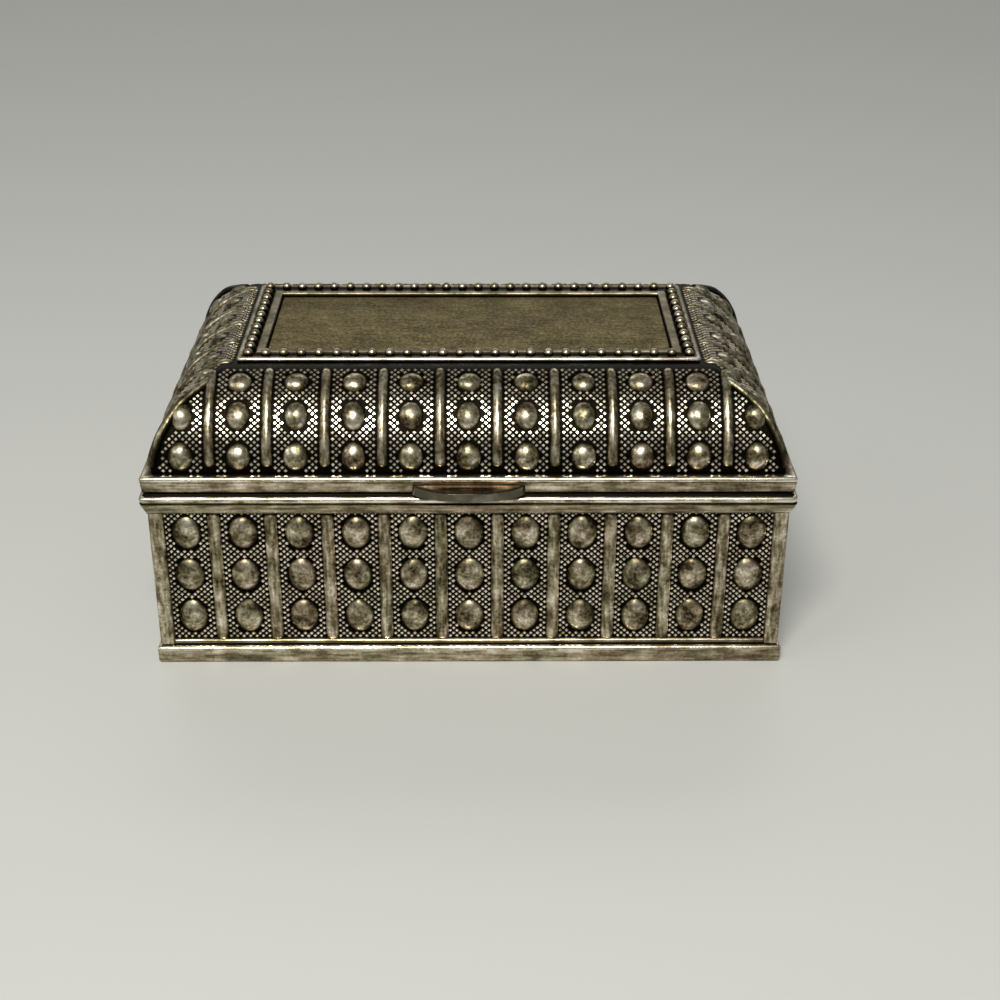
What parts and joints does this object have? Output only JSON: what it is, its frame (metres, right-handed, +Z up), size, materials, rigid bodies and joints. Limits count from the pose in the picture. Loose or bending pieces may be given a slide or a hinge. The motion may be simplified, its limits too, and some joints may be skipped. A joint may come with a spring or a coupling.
{
  "type": "rosary box",
  "caption": "Small oblong casket of oxidised silver-plated casting with bossed and ribbed walls, a hinged domed lid with a beaded plaque, and a velvet lining.",
  "frame": {"origin": "centre of the underside, where the casket stands on the table", "axes": "+X to the right along the long side, +Y to the hinge at the back, +Z up"},
  "size_m": [0.1028, 0.07, 0.0487],
  "materials": {
    "oxidised_silver": "silver-plated white-metal casting, oxidised dark in the recesses and rubbed bright on the high spots",
    "plaque_metal": "matt, tarnished plate with a fine grain and faint scratches",
    "dark_tab": "smooth dark gunmetal, glossy",
    "brass_sheet": "dull, lightly tarnished brass",
    "velvet": "short-pile velvet",
    "base_felt": "dark felt"
  },
  "bodies": {
    "box": {"box_casting": "oxidised_silver", "base_plate": "brass_sheet", "base_felt": "base_felt", "floor_pad": "velvet", "lining_front": "velvet", "lining_back": "velvet", "lining_left": "velvet", "lining_right": "velvet", "hinge_leaf_box": "brass_sheet", "hinge_rivets_box": "brass_sheet", "hinge_pin": "brass_sheet"},
    "lid": {"lid_casting": "oxidised_silver", "plaque_frame": "oxidised_silver", "plaque_plate": "plaque_metal", "thumb_tab": "dark_tab", "hinge_leaf_lid": "brass_sheet", "hinge_rivets_lid": "brass_sheet", "lid_lining_top": "velvet", "lid_lining_front": "velvet", "lid_lining_back": "velvet", "lid_lining_left": "velvet", "lid_lining_right": "velvet"}
  },
  "joints": [
    {"name": "lid_hinge", "type": "hinge", "parent": "box", "child": "lid", "pos_m": [0, 0.0335, 0.03068], "axis": [-1, 0, 0], "range_deg": [0, 100]}
  ]
}
